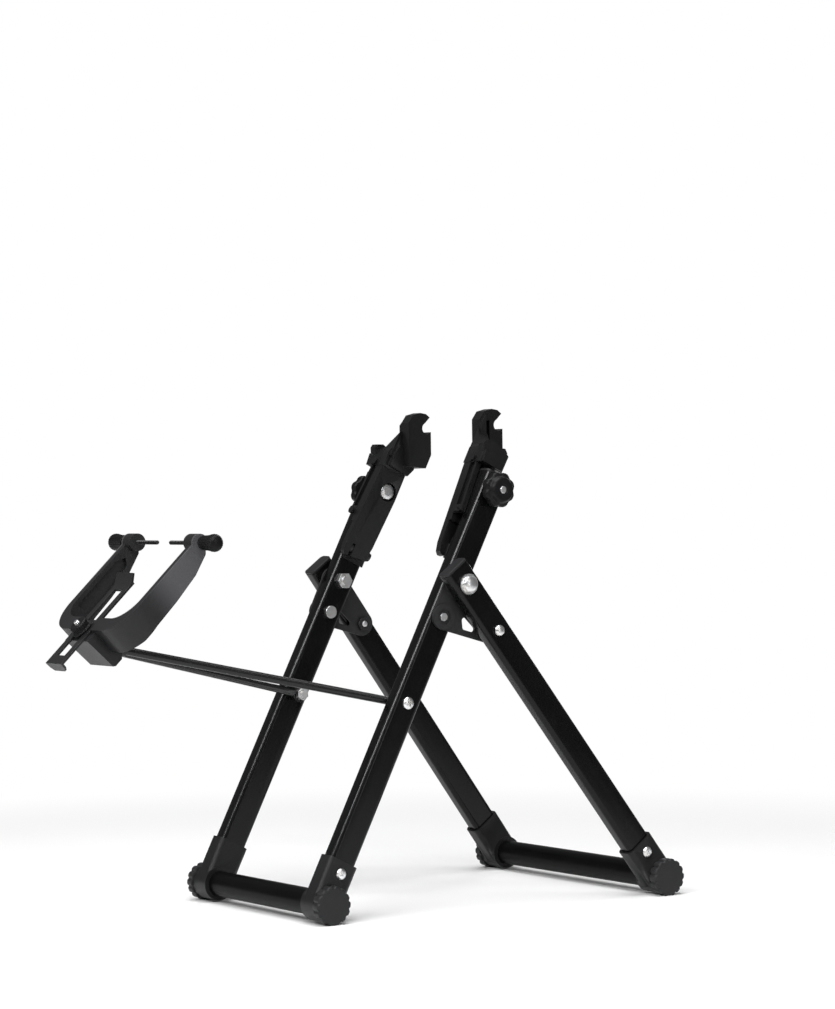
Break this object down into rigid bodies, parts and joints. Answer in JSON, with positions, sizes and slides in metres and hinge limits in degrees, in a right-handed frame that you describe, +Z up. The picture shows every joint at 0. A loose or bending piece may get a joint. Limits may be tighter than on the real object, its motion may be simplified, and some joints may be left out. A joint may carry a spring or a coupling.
{
  "type": "bicycle wheel truing stand",
  "caption": "Folding bench stand holding a wheel by its axle between two tilting arms, with a swinging gauge fork that carries side feelers and a radial slider.",
  "frame": {"origin": "on the floor below the middle of the whole stand", "axes": "+X from the gauge towards the rear legs, +Y towards the left upright along the axle, +Z up"},
  "size_m": [0.5426, 0.2768, 0.427],
  "materials": {
    "frame_paint": "gloss black paint",
    "crossbar_paint": "gloss black paint",
    "corner_plastic": "fine grained moulded plastic",
    "foot_plastic": "fine grained moulded plastic",
    "cap_plastic": "smooth moulded plastic",
    "plate_plastic": "moulded plate, light grain",
    "arm_plastic": "moulded plastic",
    "fork_plastic": "moulded plastic",
    "knob_plastic": "smooth moulded plastic",
    "zinc_steel": "bright zinc plating",
    "bracket_steel": "black oxide",
    "rod_steel": "gloss black",
    "slider_steel": "satin black",
    "pin_steel": "dark plated steel"
  },
  "bodies": {
    "root": {"upright_right": "frame_paint", "upright_left": "frame_paint", "upright_plug_right": "cap_plastic", "upright_plug_left": "cap_plastic", "front_crossbar": "crossbar_paint", "front_corner_right": "corner_plastic", "front_corner_left": "corner_plastic", "front_foot_right": "foot_plastic", "front_foot_left": "foot_plastic", "front_corner_screws": "zinc_steel", "hinge_plate_right": "plate_plastic", "hinge_plate_left": "plate_plastic", "pivot_bolts": "zinc_steel", "pivot_nuts": "zinc_steel", "plate_bolts": "zinc_steel", "lock_nuts": "bracket_steel", "arm_saddle_right": "bracket_steel", "arm_saddle_left": "bracket_steel", "arm_pins": "zinc_steel", "rod_bolts": "zinc_steel", "rod_nuts": "zinc_steel"},
    "rear_frame": {"leg_right": "frame_paint", "leg_left": "frame_paint", "leg_cap_right": "cap_plastic", "leg_cap_left": "cap_plastic", "rear_crossbar": "crossbar_paint", "rear_corner_right": "corner_plastic", "rear_corner_left": "corner_plastic", "rear_foot_right": "foot_plastic", "rear_foot_left": "foot_plastic", "rear_corner_screws": "zinc_steel", "lock_bolts": "zinc_steel"},
    "arm_right": {"axle_arm_right": "arm_plastic"},
    "arm_left": {"axle_arm_left": "arm_plastic"},
    "width_screw_right": {"width_bolt_right": "zinc_steel"},
    "width_screw_left": {"width_bolt_left": "zinc_steel"},
    "width_wheel_right": {"width_knob_right": "knob_plastic"},
    "width_wheel_left": {"width_knob_left": "knob_plastic"},
    "gauge": {"gauge_rod_right": "rod_steel", "gauge_rod_left": "rod_steel", "gauge_fork": "fork_plastic", "clamp_bolt": "zinc_steel"},
    "feeler_right": {"feeler_screw_right": "pin_steel", "feeler_knob_right": "knob_plastic"},
    "feeler_left": {"feeler_screw_left": "pin_steel", "feeler_knob_left": "knob_plastic"},
    "slider": {"radial_slider": "slider_steel"},
    "clamp": {"clamp_knob": "knob_plastic"}
  },
  "joints": [
    {"name": "rear_frame_fold", "type": "hinge", "parent": "root", "child": "rear_frame", "pos_m": [0.06028, 0, 0.27706], "axis": [0, 1, 0], "range_deg": [0, 56]},
    {"name": "arm_right_tilt", "type": "hinge", "parent": "root", "child": "arm_right", "pos_m": [0.07344, -0.077, 0.3029], "axis": [0.891, 0, -0.454], "range_deg": [0, 6]},
    {"name": "arm_left_tilt", "type": "hinge", "parent": "root", "child": "arm_left", "pos_m": [0.07344, 0.077, 0.3029], "axis": [-0.891, 0, 0.454], "range_deg": [0, 6]},
    {"name": "width_screw_right_travel", "type": "slide", "parent": "root", "child": "width_screw_right", "axis": [0, -1, 0], "range_m": [0, 0.0065]},
    {"name": "width_screw_left_travel", "type": "slide", "parent": "root", "child": "width_screw_left", "axis": [0, 1, 0], "range_m": [0, 0.0065]},
    {"name": "width_wheel_right_turn", "type": "hinge", "parent": "root", "child": "width_wheel_right", "pos_m": [0.10068, -0.105, 0.35636], "axis": [0, -1, 0], "continuous": true},
    {"name": "width_wheel_left_turn", "type": "hinge", "parent": "root", "child": "width_wheel_left", "pos_m": [0.10068, 0.105, 0.35636], "axis": [0, 1, 0], "continuous": true},
    {"name": "gauge_swing", "type": "hinge", "parent": "root", "child": "gauge", "pos_m": [0.00988, 0, 0.17816], "axis": [0, 1, 0], "range_deg": [-30, 30]},
    {"name": "feeler_right_travel", "type": "slide", "parent": "gauge", "child": "feeler_right", "axis": [0, -1, 0], "range_m": [-0.005, 0.025]},
    {"name": "feeler_left_travel", "type": "slide", "parent": "gauge", "child": "feeler_left", "axis": [0, 1, 0], "range_m": [-0.005, 0.025]},
    {"name": "slider_travel", "type": "slide", "parent": "gauge", "child": "slider", "axis": [0.7193, 0, 0.6947], "range_m": [-0.025, 0.02]},
    {"name": "clamp_turn", "type": "hinge", "parent": "gauge", "child": "clamp", "pos_m": [-0.24427, 0, 0.24693], "axis": [-0.6947, 0, 0.7193], "continuous": true}
  ],
  "couplings": [
    {"joint": "width_screw_right_travel", "follows": "arm_right_tilt", "m_per_rad": 0.06},
    {"joint": "width_screw_left_travel", "follows": "arm_left_tilt", "m_per_rad": 0.06}
  ]
}
